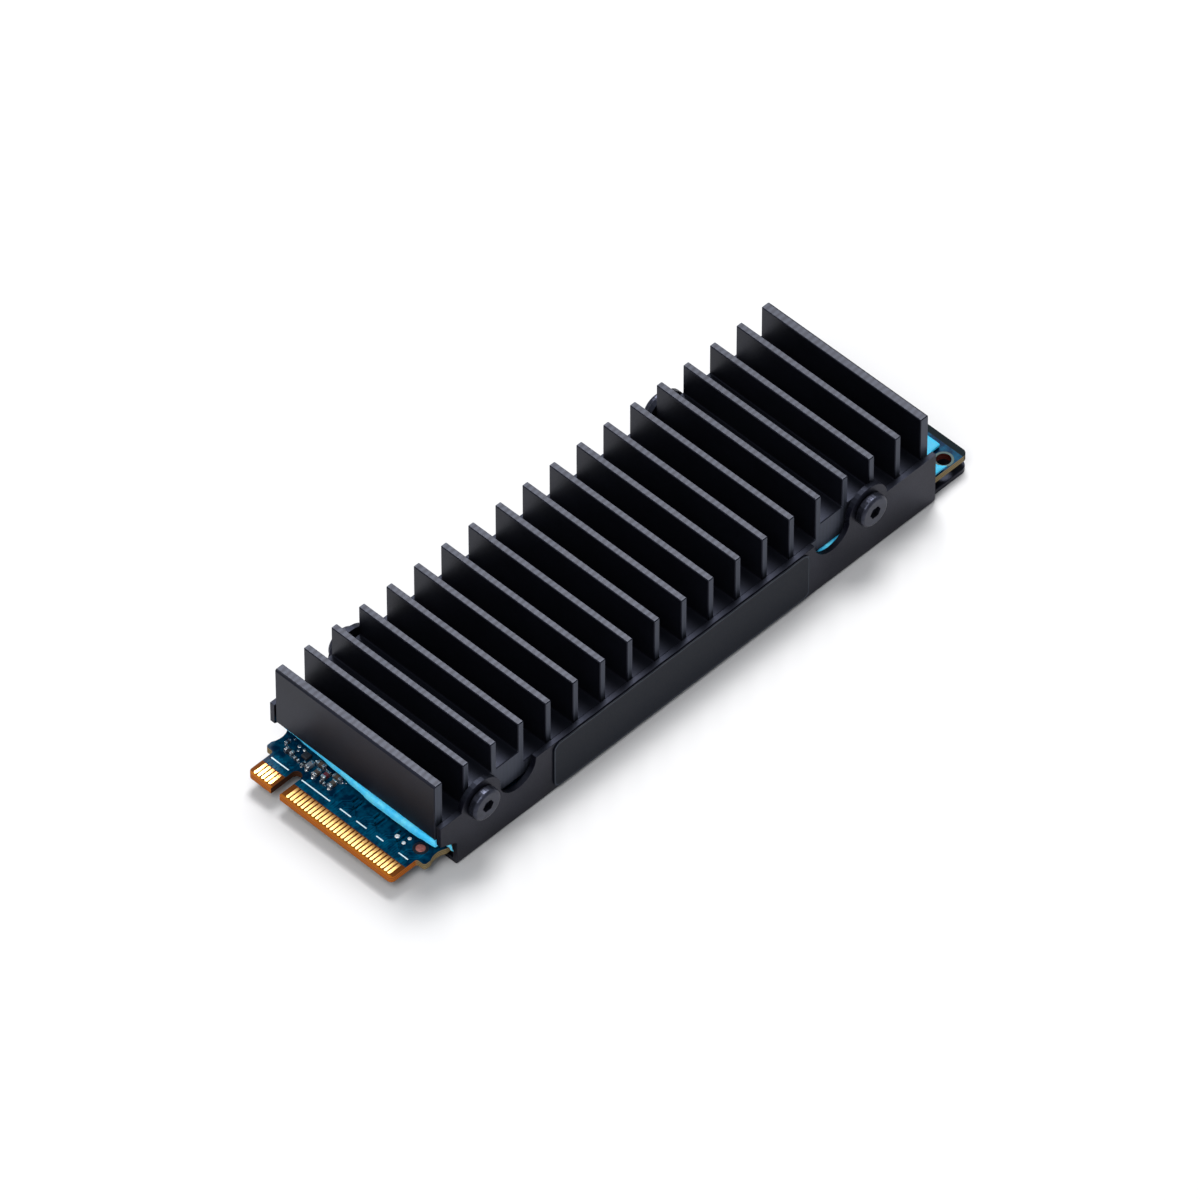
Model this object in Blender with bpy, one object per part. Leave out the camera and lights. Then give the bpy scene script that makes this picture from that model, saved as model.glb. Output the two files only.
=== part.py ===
# Solid-state drive module: edge-connector card under a finned heatsink, held in a folded tray.
# Frame: +X runs from the connector tongue to the mounting end, +Z is up, the origin is under the middle.
# All sizes are in metres.

import bmesh
import bpy
from math import asin, cos, degrees, pi, radians, sin
from mathutils import Vector

# Card
CARD_LENGTH = 0.0800
CARD_WIDTH = 0.0220
CARD_THICKNESS = 0.0008
CARD_CORNER_RADIUS = 0.00065
SHOULDER_WIDTH = 0.001075
TONGUE_LENGTH = 0.0035
TONGUE_CORNER_RADIUS = 0.0005
SHOULDER_FILLET = 0.0003
SHOULDER_CORNER_RADIUS = 0.0003
EDGE_RECESS_MIDDLE = 0.0054
EDGE_RECESS_LENGTH = 0.0022
EDGE_RECESS_DEPTH = 0.0003
KEY_WIDTH = 0.0012
KEY_DEPTH = 0.0035
KEY_OFFSET = 0.006125
KEY_KEEPOUT = 0.0010
MOUNT_HOLE_RADIUS = 0.00175
MOUNT_RING_INNER = 0.0020
MOUNT_RING_OUTER = 0.00275
MOUNT_RING_SETBACK = 0.0001
CORNER_HOLE_RADIUS = 0.0008
CORNER_RING_RADIUS = 0.00105
CORNER_HOLE_FROM_END = 0.0024
CORNER_HOLE_FROM_SIDE = 0.0011

# Edge contacts
CONTACT_PITCH = 0.0005
CONTACT_WIDTH = 0.00032
CONTACT_LENGTH = 0.00165
CONTACT_SETBACK = 0.00025
CONTACT_SIDE_MARGIN = 0.0004
CONTACT_CORNER = 0.0001
COPPER_RELIEF = 0.00004

# Layers of the stack
LAYER_GAP = 0.0001
SOLDER_GAP = 0.0001
LOWER_PAD_THICKNESS = 0.00066
LOWER_PAD_INSET = 0.0015
UPPER_PAD_THICKNESS = 0.0012
PAD_CORNER_RADIUS = 0.0008

# Front edge of the upper pad, which bulges: share of the half width, distance behind the heatsink's front
PAD_FRONT_LINE = (
    (-1.0, -0.00004),
    (-0.82, -0.00022),
    (-0.52, -0.00031),
    (-0.22, -0.00029),
    (0.09, 0.00002),
    (0.41, 0.00030),
    (0.73, 0.00054),
    (1.0, 0.00060),
)
PAD_FRONT_STEPS = 3

# Where the upper pad's near edge draws back behind the front notch
PAD_DENT_LENGTH = 0.0120
PAD_DENT_DEPTH = 0.0012

# End of the upper pad, which sags onto the card behind the heatsink
TAIL_LENGTH = 0.0046
TAIL_THICKNESS = 0.00045
TAIL_SLOPE = 0.0007
TAIL_RING_CLEARANCE = 0.00015

# Chips under the heatsink: name, length, width, height
MAIN_CHIPS = (
    ("controller_chip", 0.0120, 0.0120, 0.00080),
    ("dram_chip", 0.0075, 0.0120, 0.00080),
    ("nand_chip_front", 0.0120, 0.0180, 0.00090),
    ("nand_chip_rear", 0.0120, 0.0180, 0.00090),
)
POWER_PARTS = (
    ("power_chip", 0.0040, 0.0040, 0.00075),
    ("inductor_1", 0.0020, 0.0025, 0.00085),
    ("inductor_2", 0.0020, 0.0025, 0.00085),
    ("crystal", 0.0016, 0.0020, 0.00050),
)
POWER_ROW_FROM_FRONT = 0.0085
POWER_ROW_MARGIN = 0.0020
MAIN_ROW_GAP = 0.0010
MAIN_ROW_REAR_MARGIN = 0.0011
CHIP_EDGE = 0.00008

# Small parts that show in front of the heatsink: length, width, height, end cap length
SMALL_SIZES = {
    "tiny": (0.0006, 0.0003, 0.0003, 0.00015),
    "small": (0.0010, 0.0005, 0.0005, 0.00025),
}
END_CAP_RELIEF = 0.00002
# Name, size, distance behind the card's front, distance from its far side, and whether it lies along Y
SMALL_PARTS = (
    ("capacitor_1", "tiny", 0.00526, 0.00132, False),
    ("capacitor_2", "small", 0.00441, 0.00240, True),
    ("capacitor_3", "tiny", 0.00426, 0.00355, True),
    ("resistor_1", "tiny", 0.00428, 0.00445, False),
    ("capacitor_4", "small", 0.00455, 0.00510, False),
    ("capacitor_5", "small", 0.00540, 0.00590, True),
    ("capacitor_6", "small", 0.00429, 0.00628, False),
    ("capacitor_7", "small", 0.00471, 0.00717, False),
    ("resistor_2", "tiny", 0.00390, 0.00750, True),
    ("capacitor_8", "small", 0.00438, 0.00840, False),
    ("capacitor_9", "small", 0.00530, 0.00820, True),
)
SENSOR_SIZE = 0.0008
SENSOR_HEIGHT = 0.0004
SENSOR_FROM_FRONT = 0.00520
SENSOR_FROM_SIDE = 0.00395

# Heatsink
HEATSINK_FRONT_SETBACK = 0.00496
HEATSINK_REAR_SETBACK = 0.00594
HEATSINK_BASE = 0.00184
FIN_HEIGHT = 0.00584
FIN_COUNT = 19
FIN_THICKNESS = 0.00076
END_FIN_THICKNESS = 0.0011
BLOCK_RISE = 0.0019
FRONT_BLOCK_FIN = 2
REAR_BLOCK_FIN_FROM_END = 3
FIN_EDGE = 0.00008
END_FIN_CHAMFER = 0.00015

# Tray
SHEET = 0.0006
SHEET_EDGE = 0.00005
SIDE_CLEARANCE = 0.0002
TRAY_CORNER_RADIUS = 0.0003
WALL_HEIGHT = 0.0069
WALL_OVERRUN = 0.00038
EAR_RADIUS = 0.0027
NOTCH_RADIUS = 0.0025
FLOOR_SETBACK = 0.0022
FRONT_CUT_FOOT = 0.00104
FRONT_CUT_TIP = 0.00199
FRONT_CUT_CORNER = 0.0002
STRIP_INSET = 0.00005
STRIP_CORNER_RADIUS = 0.0010
STANDOFF_RELIEF_RADIUS = 0.0032

# Screws
SCREW_RISE = 0.00204
SCREW_EDGE = 0.00085
SCREW_SHANK_RADIUS = 0.00095
SCREW_HOLE_CLEARANCE = 0.0002
SCREW_LENGTH = 0.0035
SCREW_TIP_CHAMFER = 0.0002
SCREW_HEAD_RADIUS = 0.00185
SCREW_HEAD_HEIGHT = 0.0009
SCREW_HEAD_ROUND = 0.00035
SCREW_SOCKET_WIDTH = 0.0013
SCREW_SOCKET_DEPTH = 0.0005
SCREW_SEAT_GAP = 0.0001
SCREW_HOLE_RUNOUT = 0.0004

# Side label
LABEL_START = 0.0155
LABEL_LENGTH = 0.03584
LABEL_FOOT = 0.0005
LABEL_TOP_MARGIN = 0.0002
LABEL_RADIUS = 0.0009
LABEL_THICKNESS = 0.0001
LABEL_GAP = 0.00005

# How far a cutter runs past what it cuts, and how finely arcs are drawn
CUT_MARGIN = 0.0010
ARC_STEP = 11.25
ROUND_SIDES = 32

# Places that follow from the sizes
card_front = -CARD_LENGTH / 2
card_rear = CARD_LENGTH / 2
card_half = CARD_WIDTH / 2
tongue_half = card_half - SHOULDER_WIDTH
lower_pad_bottom = SHEET + LAYER_GAP
card_bottom = lower_pad_bottom + LOWER_PAD_THICKNESS + LAYER_GAP
card_top = card_bottom + CARD_THICKNESS
chip_bottom = card_top + SOLDER_GAP
tallest_chip = max(part[3] for part in MAIN_CHIPS + POWER_PARTS)
upper_pad_bottom = chip_bottom + tallest_chip + LAYER_GAP
upper_pad_top = upper_pad_bottom + UPPER_PAD_THICKNESS
heatsink_bottom = upper_pad_top + LAYER_GAP
groove_floor = heatsink_bottom + HEATSINK_BASE
heatsink_top = groove_floor + FIN_HEIGHT
heatsink_front = card_front + HEATSINK_FRONT_SETBACK
heatsink_rear = card_rear - HEATSINK_REAR_SETBACK
fin_pitch = (heatsink_rear - heatsink_front - END_FIN_THICKNESS) / (FIN_COUNT - 1)
wall_inner = card_half + SIDE_CLEARANCE
wall_outer = wall_inner + SHEET
wall_rear = heatsink_rear + WALL_OVERRUN
screw_level = heatsink_bottom + SCREW_RISE
screw_hole_radius = SCREW_SHANK_RADIUS + SCREW_HOLE_CLEARANCE
block_half = fin_pitch - FIN_THICKNESS / 2
screw_offset = block_half - SCREW_EDGE
section_top = screw_level + EAR_RADIUS + CUT_MARGIN
corner_hole = (card_rear - CORNER_HOLE_FROM_END, -card_half + CORNER_HOLE_FROM_SIDE)


def fin_centre(index):
    return heatsink_front + END_FIN_THICKNESS / 2 + index * fin_pitch


block_fins = (FRONT_BLOCK_FIN, FIN_COUNT - 1 - REAR_BLOCK_FIN_FROM_END)
block_centres = [fin_centre(index) for index in block_fins]


# Materials
def make_material(name, colour, roughness, metallic):
    made = bpy.data.materials.new(name)
    made.use_nodes = True
    shader = made.node_tree.nodes["Principled BSDF"]
    shader.inputs["Base Color"].default_value = (*colour, 1.0)
    shader.inputs["Roughness"].default_value = roughness
    shader.inputs["Metallic"].default_value = metallic
    return made


# Outlines
def arc(centre_u, centre_v, radius, start, end):
    steps = max(2, round(abs(end - start) / ARC_STEP))
    angles = [radians(start + (end - start) * i / steps) for i in range(steps + 1)]
    return [(centre_u + radius * cos(a), centre_v + radius * sin(a)) for a in angles]


def circle(centre_u, centre_v, radius):
    angles = [2 * pi * i / ROUND_SIDES for i in range(ROUND_SIDES)]
    return [(centre_u + radius * cos(a), centre_v + radius * sin(a)) for a in angles]


def rectangle(low_u, high_u, low_v, high_v):
    return [(low_u, low_v), (high_u, low_v), (high_u, high_v), (low_u, high_v)]


def rounded_rectangle(low_u, high_u, low_v, high_v, radius):
    points = arc(high_u - radius, low_v + radius, radius, -90, 0)
    points += arc(high_u - radius, high_v - radius, radius, 0, 90)
    points += arc(low_u + radius, high_v - radius, radius, 90, 180)
    points += arc(low_u + radius, low_v + radius, radius, 180, 270)
    return points


def shallow_arc(middle, edge, length, depth, side):
    # A shallow dip in an edge that runs along X, on the side where Y is positive or negative
    half = length / 2
    radius = (half ** 2 + depth ** 2) / (2 * depth)
    spread = degrees(asin(half / radius))
    centre = side * (edge - depth + radius)
    return arc(middle, centre, radius, -side * (90 + spread), -side * (90 - spread))


def smooth_line(points, steps):
    # A curve through all the points, each stretch between two of them drawn in the same number of steps
    stops = [Vector(point) for point in points]
    stops = [stops[0]] + stops + [stops[-1]]
    line = []
    for before, start, end, after in zip(stops, stops[1:], stops[2:], stops[3:]):
        for i in range(steps):
            t = i / steps
            bend = (2 * before - 5 * start + 4 * end - after) * t ** 2
            turn = (3 * start - 3 * end + after - before) * t ** 3
            line.append((2 * start + (end - before) * t + bend + turn) / 2)
    line.append(stops[-1])
    return [(point.x, point.y) for point in line]


# Solids
def in_space(u, v, depth, axis):
    if axis == "X":
        return Vector((depth, u, v))
    if axis == "Y":
        return Vector((u, depth, v))
    return Vector((u, v, depth))


def add_prism(bm, outline, axis, low, high):
    ring = [bm.verts.new(in_space(u, v, low, axis)) for u, v in outline]
    face = bm.faces.new(ring)
    grown = bmesh.ops.extrude_face_region(bm, geom=[face])["geom"]
    moved = [item for item in grown if isinstance(item, bmesh.types.BMVert)]
    bmesh.ops.translate(bm, verts=moved, vec=in_space(0, 0, high - low, axis))


def add_object(name, bm, finish=None):
    bmesh.ops.recalc_face_normals(bm, faces=bm.faces)
    mesh = bpy.data.meshes.new(name)
    bm.to_mesh(mesh)
    bm.free()
    made = bpy.data.objects.new(name, mesh)
    bpy.context.collection.objects.link(made)
    if finish:
        mesh.materials.append(finish)
    return made


def prism(name, outline, axis, low, high, finish=None):
    bm = bmesh.new()
    add_prism(bm, outline, axis, low, high)
    return add_object(name, bm, finish)


def turned(name, profile, finish):
    bm = bmesh.new()
    verts = [bm.verts.new((radius, 0, height)) for radius, height in profile]
    edges = [bm.edges.new(pair) for pair in zip(verts, verts[1:])]
    bmesh.ops.spin(bm, geom=verts + edges, cent=(0, 0, 0), axis=(0, 0, 1),
                   angle=2 * pi, steps=ROUND_SIDES)
    bmesh.ops.remove_doubles(bm, verts=bm.verts, dist=1e-7)
    made = add_object(name, bm, finish)
    made.data.shade_smooth()
    made.data.set_sharp_from_angle(angle=radians(40))
    return made


def combine(target, tool, operation):
    tool.hide_render = True
    tool.display_type = "WIRE"
    step = target.modifiers.new(tool.name, "BOOLEAN")
    step.operation = operation
    step.solver = "EXACT"
    step.object = tool


def soften(target, width):
    step = target.modifiers.new("soft_edges", "BEVEL")
    step.width = width
    step.segments = 1
    step.limit_method = "ANGLE"
    step.angle_limit = radians(40)


# Card: outline from the tongue's corner, round by the near side, the mounting end and the far side
def card_edge(side):
    shoulder = card_front + TONGUE_LENGTH
    tip = TONGUE_CORNER_RADIUS
    fillet = SHOULDER_FILLET
    corner = SHOULDER_CORNER_RADIUS
    radius = CARD_CORNER_RADIUS
    points = arc(card_front + tip, side * (tongue_half - tip), tip, 180, 180 - side * 90)
    points += arc(shoulder - fillet, side * (tongue_half + fillet), fillet, -side * 90, 0)
    points += arc(shoulder + corner, side * (card_half - corner), corner, 180, 180 - side * 90)
    points += shallow_arc(card_front + EDGE_RECESS_MIDDLE, card_half, EDGE_RECESS_LENGTH, EDGE_RECESS_DEPTH, side)
    points += arc(card_rear - radius, side * (card_half - radius), radius, side * 90, 0)
    return points


def card_outline():
    half_key = KEY_WIDTH / 2
    near = card_edge(-1)
    far = list(reversed(card_edge(1)))
    mount = arc(card_rear, 0, MOUNT_HOLE_RADIUS, 270, 90)
    key = [(card_front, KEY_OFFSET + half_key)]
    key += arc(card_front + KEY_DEPTH - half_key, KEY_OFFSET, half_key, 90, -90)
    key.append((card_front, KEY_OFFSET - half_key))
    return near + mount + far + key


def contact_rows(shift):
    rows = []
    reach = tongue_half - CONTACT_SIDE_MARGIN - CONTACT_WIDTH / 2
    count = int(reach / CONTACT_PITCH) + 1
    for index in range(-count, count + 1):
        row = index * CONTACT_PITCH + shift
        if abs(row) <= reach and abs(row - KEY_OFFSET) >= KEY_KEEPOUT:
            rows.append(row)
    return rows


def contact_outline(start, row):
    half = CONTACT_WIDTH / 2
    cut = CONTACT_CORNER
    end = start + CONTACT_LENGTH
    return [(start, row + half - cut), (start, row - half + cut), (start + cut, row - half),
            (end, row - half), (end, row + half), (start + cut, row + half)]


def half_ring():
    lean = degrees(asin(MOUNT_RING_SETBACK / MOUNT_RING_INNER))
    outer_lean = degrees(asin(MOUNT_RING_SETBACK / MOUNT_RING_OUTER))
    points = arc(card_rear, 0, MOUNT_RING_OUTER, 90 + outer_lean, 270 - outer_lean)
    return points + arc(card_rear, 0, MOUNT_RING_INNER, 270 - lean, 90 + lean)


def make_copper():
    bm = bmesh.new()
    start = card_front + CONTACT_SETBACK
    middle = (card_bottom + card_top) / 2
    sides = ((CONTACT_PITCH / 2, middle, card_top + COPPER_RELIEF),
             (0, card_bottom - COPPER_RELIEF, middle - LAYER_GAP))
    for shift, low, high in sides:
        for row in contact_rows(shift):
            add_prism(bm, contact_outline(start, row), "Z", low, high)
    add_prism(bm, half_ring(), "Z", middle, card_top + COPPER_RELIEF)
    add_prism(bm, circle(*corner_hole, CORNER_RING_RADIUS), "Z", middle, card_top + COPPER_RELIEF)
    return add_object("copper_relief", bm)


def make_card(finish):
    card = prism("pcb", card_outline(), "Z", card_bottom, card_top, finish)
    hole = prism("corner_hole", circle(*corner_hole, CORNER_HOLE_RADIUS), "Z",
                 card_bottom - CUT_MARGIN, card_top + CUT_MARGIN)
    combine(card, make_copper(), "UNION")
    combine(card, hole, "DIFFERENCE")


# Packages and small parts on the card
def make_package(name, centre_x, centre_y, length, width, height, finish):
    outline = rectangle(centre_x - length / 2, centre_x + length / 2,
                        centre_y - width / 2, centre_y + width / 2)
    package = prism(name, outline, "Z", chip_bottom, chip_bottom + height, finish)
    soften(package, CHIP_EDGE)


def make_main_chips(finish):
    start = card_front + POWER_ROW_FROM_FRONT + max(part[1] for part in POWER_PARTS) / 2 + MAIN_ROW_GAP
    end = heatsink_rear - MAIN_ROW_REAR_MARGIN
    spare = end - start - sum(part[1] for part in MAIN_CHIPS)
    gap = spare / (len(MAIN_CHIPS) - 1)
    for name, length, width, height in MAIN_CHIPS:
        make_package(name, start + length / 2, 0, length, width, height, finish)
        start += length + gap


def make_power_parts(finish):
    row = card_front + POWER_ROW_FROM_FRONT
    start = -card_half + POWER_ROW_MARGIN
    spare = 2 * -start - sum(part[2] for part in POWER_PARTS)
    gap = spare / (len(POWER_PARTS) - 1)
    for name, length, width, height in POWER_PARTS:
        make_package(name, row, start + width / 2, length, width, height, finish)
        start += width + gap


def small_part_profile(length, height, cap):
    # Side outline of a chip part, whose metal end caps stand a little proud of the body
    low = END_CAP_RELIEF
    high = height - END_CAP_RELIEF
    end = length / 2
    neck = end - cap
    return [(-end, 0), (-neck, 0), (-neck, low), (neck, low), (neck, 0), (end, 0),
            (end, height), (neck, height), (neck, high), (-neck, high), (-neck, height), (-end, height)]


def make_small_parts(finish):
    for name, size, from_front, from_side, along_width in SMALL_PARTS:
        length, width, height, cap = SMALL_SIZES[size]
        part = prism(name, small_part_profile(length, height, cap), "Y", -width / 2, width / 2, finish)
        part.location = (card_front + from_front, card_half - from_side, chip_bottom)
        part.rotation_euler.z = radians(90) if along_width else 0


def make_sensor(finish):
    make_package("sensor_chip", card_front + SENSOR_FROM_FRONT, card_half - SENSOR_FROM_SIDE,
                 SENSOR_SIZE, SENSOR_SIZE, SENSOR_HEIGHT, finish)


# Thermal pads
def make_lower_pad(finish):
    outline = rounded_rectangle(heatsink_front + FLOOR_SETBACK + LOWER_PAD_INSET, heatsink_rear,
                                -card_half + LOWER_PAD_INSET, card_half - LOWER_PAD_INSET, PAD_CORNER_RADIUS)
    prism("thermal_pad_bottom", outline, "Z", lower_pad_bottom,
          lower_pad_bottom + LOWER_PAD_THICKNESS, finish)


def pad_front_outline(ahead):
    # What lies ahead of the pad's front edge
    stations = [(heatsink_front + distance, share * card_half) for share, distance in PAD_FRONT_LINE]
    line = smooth_line(stations, PAD_FRONT_STEPS)
    reach = card_half + CUT_MARGIN
    return [(ahead, -reach), (line[0][0], -reach)] + line + [(line[-1][0], reach), (ahead, reach)]


def make_upper_pad(finish):
    # Side outline: a slab under the heatsink whose end drops onto the card
    tail_bottom = card_top + COPPER_RELIEF + LAYER_GAP
    tail_top = tail_bottom + TAIL_THICKNESS
    tail_end = heatsink_rear + TAIL_LENGTH
    foot = heatsink_rear + TAIL_SLOPE
    front = heatsink_front + min(distance for share, distance in PAD_FRONT_LINE) - CUT_MARGIN / 2
    outline = [(front, upper_pad_bottom), (heatsink_rear - TAIL_SLOPE / 2, upper_pad_bottom),
               (foot, tail_bottom), (tail_end, tail_bottom), (tail_end, tail_top),
               (foot + TAIL_SLOPE / 2, tail_top), (heatsink_rear + TAIL_SLOPE / 3, upper_pad_top),
               (front, upper_pad_top)]
    pad = prism("thermal_pad_top", outline, "Y", -card_half, card_half, finish)
    below = upper_pad_bottom - CUT_MARGIN
    above = upper_pad_top + CUT_MARGIN
    combine(pad, prism("pad_front_cut", pad_front_outline(front - CUT_MARGIN), "Z", below, above), "DIFFERENCE")
    middle = block_centres[0] + screw_offset
    dent = shallow_arc(middle, card_half, PAD_DENT_LENGTH, PAD_DENT_DEPTH, -1)
    dent += [(middle + PAD_DENT_LENGTH / 2, -card_half - CUT_MARGIN),
             (middle - PAD_DENT_LENGTH / 2, -card_half - CUT_MARGIN)]
    combine(pad, prism("pad_dent", dent, "Z", below, above), "DIFFERENCE")
    low = tail_bottom - CUT_MARGIN
    high = tail_top + CUT_MARGIN / 4
    mount = prism("pad_mount_cut", circle(card_rear, 0, MOUNT_RING_OUTER + TAIL_RING_CLEARANCE), "Z", low, high)
    combine(pad, mount, "DIFFERENCE")
    reach = CORNER_RING_RADIUS + TAIL_RING_CLEARANCE
    around = arc(*corner_hole, reach, 90, 270)
    around += [(tail_end + CUT_MARGIN, corner_hole[1] - reach), (tail_end + CUT_MARGIN, corner_hole[1] + reach)]
    combine(pad, prism("pad_corner_cut", around, "Z", low, high), "DIFFERENCE")


# Heatsink: fins across the width, with two raised blocks that take the screws
def heatsink_profile():
    # A raised block fills the foot of the grooves before and behind its middle fin
    raised = [fin - 1 for fin in block_fins] + list(block_fins)
    chamfer = END_FIN_CHAMFER
    points = [(heatsink_front, heatsink_bottom), (heatsink_front, heatsink_top - chamfer),
              (heatsink_front + chamfer, heatsink_top)]
    for index in range(FIN_COUNT - 1):
        left = END_FIN_THICKNESS if index == 0 else FIN_THICKNESS
        right = END_FIN_THICKNESS if index == FIN_COUNT - 2 else FIN_THICKNESS
        start = fin_centre(index) + left / 2
        end = fin_centre(index + 1) - right / 2
        floor = groove_floor + (BLOCK_RISE if index in raised else 0)
        points += [(start, heatsink_top), (start, floor), (end, floor), (end, heatsink_top)]
    points += [(heatsink_rear - chamfer, heatsink_top), (heatsink_rear, heatsink_top - chamfer),
               (heatsink_rear, heatsink_bottom)]
    return points


def screw_places():
    # Near side screws stand outward of their block, far side screws inward in the same order
    front, rear = block_centres
    return (("near_front", front - screw_offset, -1), ("near_rear", rear + screw_offset, -1),
            ("far_front", front + screw_offset, 1), ("far_rear", rear - screw_offset, 1))


def make_heatsink(finish):
    heatsink = prism("heatsink", heatsink_profile(), "Y", -card_half, card_half, finish)
    soften(heatsink, FIN_EDGE)
    seat = wall_outer + SCREW_SEAT_GAP
    for name, along, side in screw_places():
        depth = side * (seat - SCREW_LENGTH - SCREW_HOLE_RUNOUT)
        mouth = side * (card_half + CUT_MARGIN)
        bore = prism("heatsink_bore_" + name, circle(along, screw_level, screw_hole_radius), "Y",
                     min(depth, mouth), max(depth, mouth))
        combine(heatsink, bore, "DIFFERENCE")


# Tray: one folded sheet
def tray_section():
    radius = TRAY_CORNER_RADIUS
    points = [(-wall_inner, section_top), (-wall_outer, section_top)]
    points += arc(-wall_outer + radius, radius, radius, 180, 270)
    points += arc(wall_outer - radius, radius, radius, 270, 360)
    points += [(wall_outer, section_top), (wall_inner, section_top), (wall_inner, SHEET), (-wall_inner, SHEET)]
    return points


def wall_cutter(side):
    # What is cut away: all above the wall's top, and the notches, less the ears round the screws
    label = "near" if side < 0 else "far"
    middle = side * (wall_inner + wall_outer) / 2
    reach = SHEET / 2 + CUT_MARGIN
    outline = rectangle(heatsink_front - CUT_MARGIN, wall_rear + CUT_MARGIN, WALL_HEIGHT, section_top + CUT_MARGIN)
    cutter = prism("trim_" + label, outline, "Y", middle - reach, middle + reach)
    for name, along, screw_side in screw_places():
        if screw_side != side:
            inside = reach - CUT_MARGIN / 4
            notch = prism("notch_%s_%s" % (label, name), circle(along, WALL_HEIGHT, NOTCH_RADIUS), "Y",
                          middle - inside, middle + inside)
            combine(cutter, notch, "UNION")
    for name, along, screw_side in screw_places():
        if screw_side == side:
            outside = reach + CUT_MARGIN / 4
            ear = prism("ear_" + name, circle(along, screw_level, EAR_RADIUS), "Y",
                        middle - outside, middle + outside)
            combine(cutter, ear, "DIFFERENCE")
    return cutter


def front_cutter():
    floor_front = heatsink_front + FLOOR_SETBACK
    foot = card_top + FRONT_CUT_FOOT
    tip = card_top + FRONT_CUT_TIP
    slope = (tip - foot) / (FLOOR_SETBACK - FRONT_CUT_CORNER)
    ahead = heatsink_front - CUT_MARGIN
    outline = [(ahead, -CUT_MARGIN), (floor_front, -CUT_MARGIN), (floor_front, foot - FRONT_CUT_CORNER),
               (floor_front - FRONT_CUT_CORNER, foot), (ahead, tip + slope * CUT_MARGIN)]
    reach = wall_outer + CUT_MARGIN
    return prism("front_cut", outline, "Y", -reach, reach)


def rear_cutter():
    # Leaves a strip of floor under the mounting end, with round corners
    strip = wall_inner - STRIP_INSET
    reach = wall_outer + CUT_MARGIN
    radius = STRIP_CORNER_RADIUS
    outline = [(wall_rear, -reach), (card_rear + 2 * CUT_MARGIN, -reach),
               (card_rear + 2 * CUT_MARGIN, reach), (wall_rear, reach), (wall_rear, strip)]
    outline += arc(card_rear - radius, strip - radius, radius, 90, 0)
    outline += arc(card_rear - radius, radius - strip, radius, 0, -90)
    outline.append((wall_rear, -strip))
    return prism("rear_cut", outline, "Z", -CUT_MARGIN, section_top + CUT_MARGIN)


def make_tray(finish):
    tray = prism("bottom_tray", tray_section(), "X", heatsink_front, card_rear + CUT_MARGIN, finish)
    combine(tray, front_cutter(), "DIFFERENCE")
    combine(tray, rear_cutter(), "DIFFERENCE")
    combine(tray, wall_cutter(-1), "DIFFERENCE")
    combine(tray, wall_cutter(1), "DIFFERENCE")
    relief = prism("standoff_relief", circle(card_rear, 0, STANDOFF_RELIEF_RADIUS), "Z",
                   -CUT_MARGIN, SHEET + CUT_MARGIN)
    combine(tray, relief, "DIFFERENCE")
    for name, along, side in screw_places():
        inner = side * (wall_inner - CUT_MARGIN)
        outer = side * (wall_outer + CUT_MARGIN)
        bore = prism("tray_bore_" + name, circle(along, screw_level, screw_hole_radius), "Y",
                     min(inner, outer), max(inner, outer))
        combine(tray, bore, "DIFFERENCE")
    soften(tray, SHEET_EDGE)


# Screws
def screw_profile():
    rim = arc(SCREW_HEAD_RADIUS - SCREW_HEAD_ROUND, SCREW_HEAD_HEIGHT - SCREW_HEAD_ROUND,
              SCREW_HEAD_ROUND, 0, 90)
    shank = [(0, -SCREW_LENGTH), (SCREW_SHANK_RADIUS - SCREW_TIP_CHAMFER, -SCREW_LENGTH),
             (SCREW_SHANK_RADIUS, -SCREW_LENGTH + SCREW_TIP_CHAMFER), (SCREW_SHANK_RADIUS, 0)]
    return shank + [(SCREW_HEAD_RADIUS, 0)] + rim + [(0, SCREW_HEAD_HEIGHT)]


def hexagon(across):
    radius = across / 2 / cos(radians(30))
    return [(radius * cos(radians(60 * i)), radius * sin(radians(60 * i))) for i in range(6)]


def make_screws(finish):
    for name, along, side in screw_places():
        screw = turned("screw_" + name, screw_profile(), finish)
        socket = prism("socket_" + name, hexagon(SCREW_SOCKET_WIDTH), "Z",
                       SCREW_HEAD_HEIGHT - SCREW_SOCKET_DEPTH, SCREW_HEAD_HEIGHT + CUT_MARGIN)
        for item in (screw, socket):
            item.location = (along, side * (wall_outer + SCREW_SEAT_GAP), screw_level)
            item.rotation_euler.x = radians(-90 * side)
        combine(screw, socket, "DIFFERENCE")


# Bare label on the near wall
def make_label(finish):
    start = heatsink_front + LABEL_START
    outline = rounded_rectangle(start, start + LABEL_LENGTH, LABEL_FOOT,
                                WALL_HEIGHT - LABEL_TOP_MARGIN, LABEL_RADIUS)
    back = -wall_outer - LABEL_GAP
    prism("side_label", outline, "Y", back - LABEL_THICKNESS, back, finish)


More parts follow.
